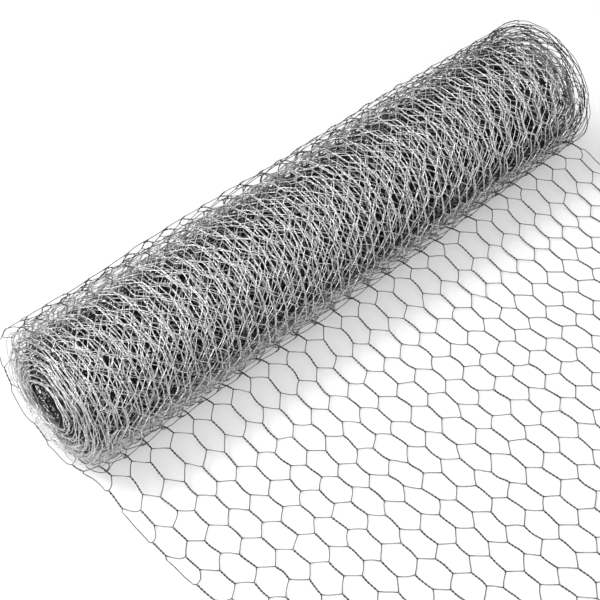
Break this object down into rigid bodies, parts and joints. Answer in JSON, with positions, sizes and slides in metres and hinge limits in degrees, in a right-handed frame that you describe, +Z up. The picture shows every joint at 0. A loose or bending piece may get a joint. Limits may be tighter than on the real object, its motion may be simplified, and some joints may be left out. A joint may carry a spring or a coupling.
{
  "type": "roll of chicken wire",
  "caption": "Roll of galvanized hexagonal wire netting lying on its side, with an open bore and a length unrolled flat in front of it, for fencing and crafts.",
  "frame": {"origin": "centre of the object's footprint on the floor it lies on", "axes": "+X along the roll's axis, -Y the way the netting unrolls, +Z up"},
  "size_m": [0.3499, 0.305, 0.076],
  "materials": {
    "galvanized_wire": "bright zinc-coated wire, drawn smooth"
  },
  "bodies": {
    "root": {"roll": "galvanized_wire", "crest_netting": "galvanized_wire", "landing_netting": "galvanized_wire", "flat_netting_inner": "galvanized_wire", "flat_netting_outer": "galvanized_wire"}
  },
  "joints": []
}
